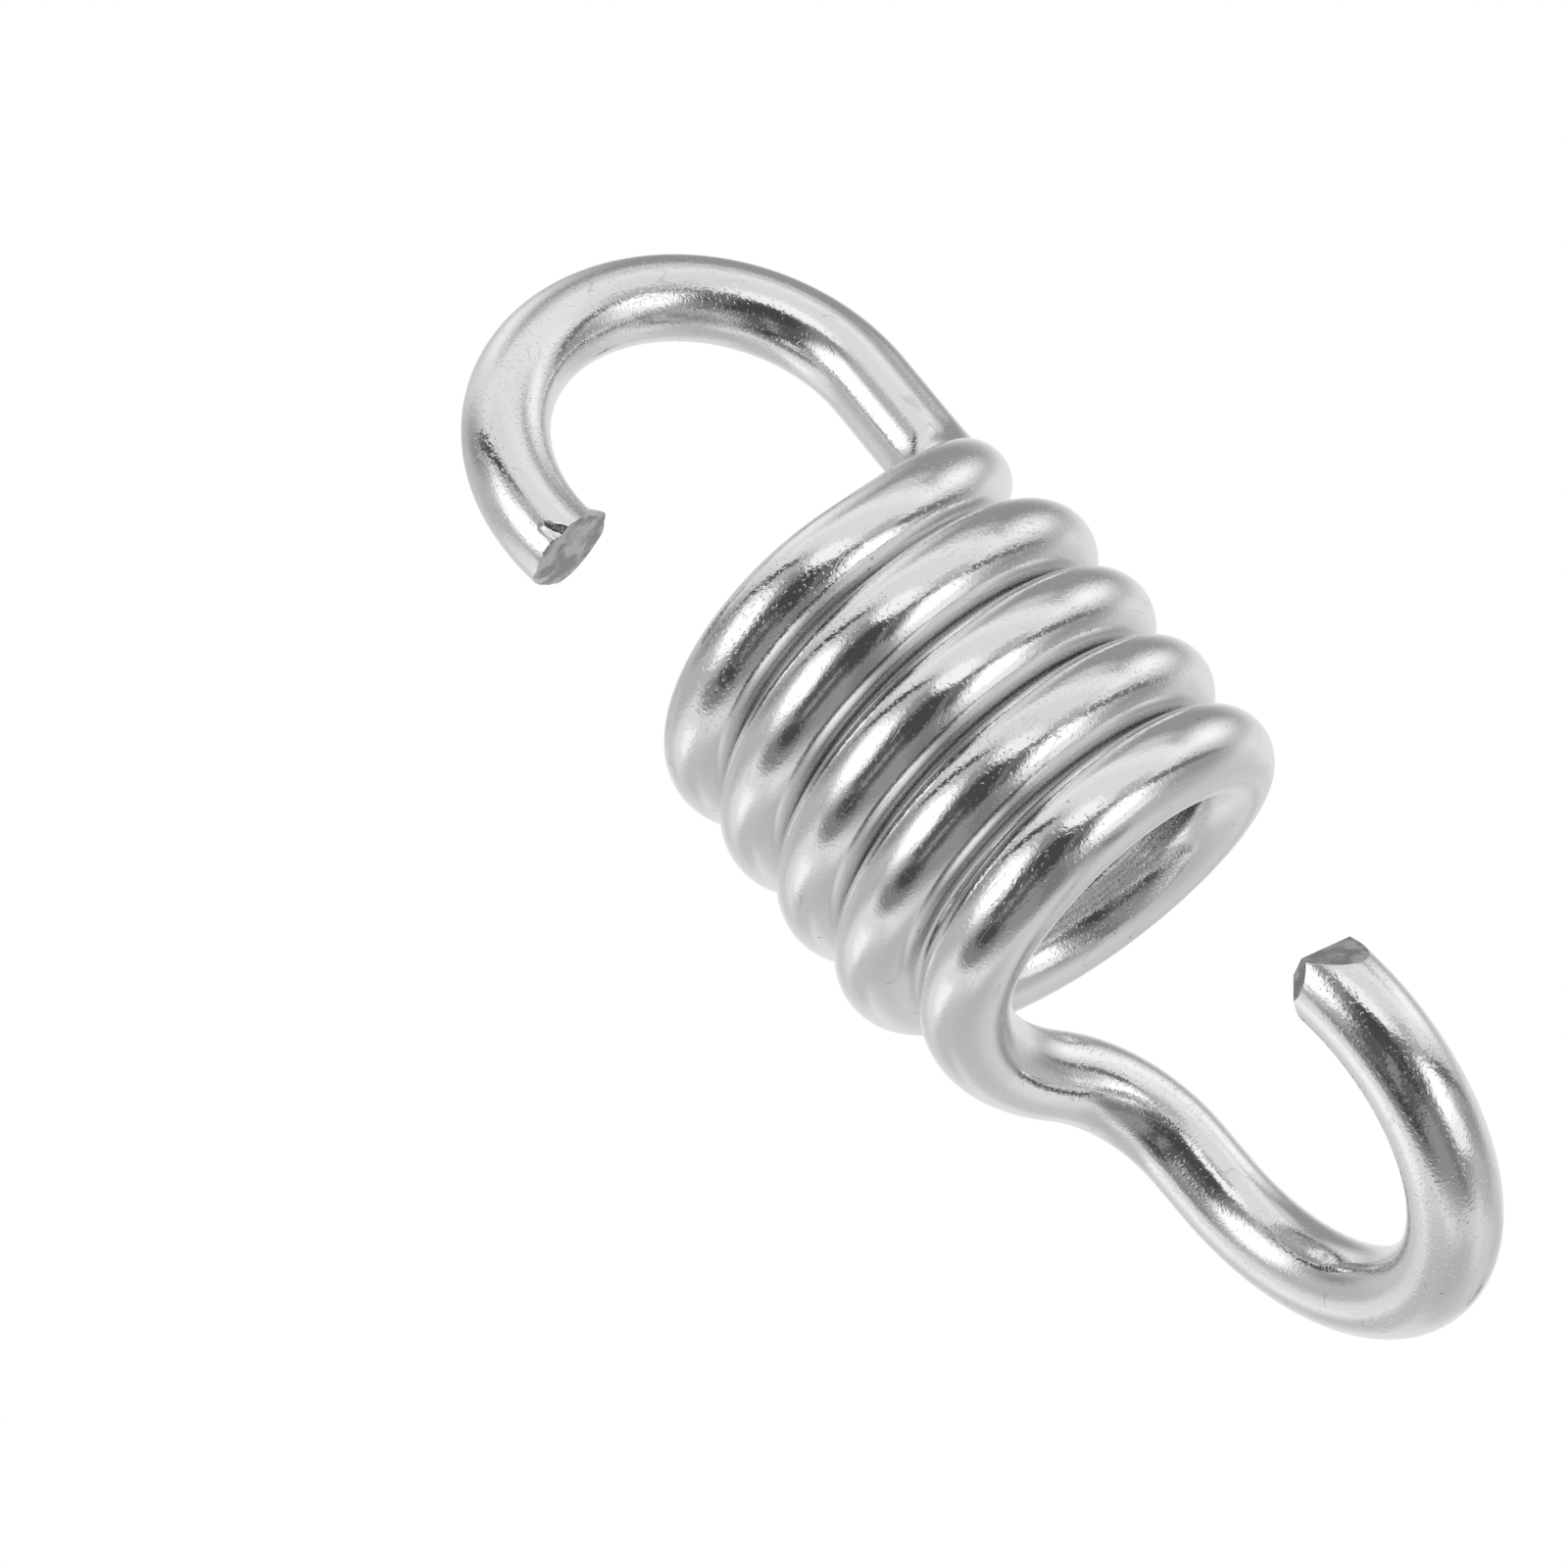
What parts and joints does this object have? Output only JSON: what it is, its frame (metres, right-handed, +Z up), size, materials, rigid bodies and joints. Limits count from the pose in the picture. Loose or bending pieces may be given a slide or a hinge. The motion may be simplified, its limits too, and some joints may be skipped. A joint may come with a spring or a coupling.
{
  "type": "hanging chair spring",
  "caption": "Close-wound extension spring of thick round zinc-plated steel wire with an open hook at each end, for hanging a seat or hammock chair.",
  "frame": {"origin": "the seat of the upper hook: the inside top of its eye, where the thing that holds the spring up bears", "axes": "+Z up, along the coil's axis, as it hangs; +X square to the plane of the upper hook, through its eye; +Y across the upper hook, from its open tip towards its neck"},
  "size_m": [0.0392, 0.039, 0.1092],
  "materials": {
    "zinc_plated_steel": "bright zinc plate on drawn wire, slightly rough, with fine specks and light scuffs"
  },
  "bodies": {
    "root": {"spring_wire": "zinc_plated_steel"}
  },
  "joints": []
}
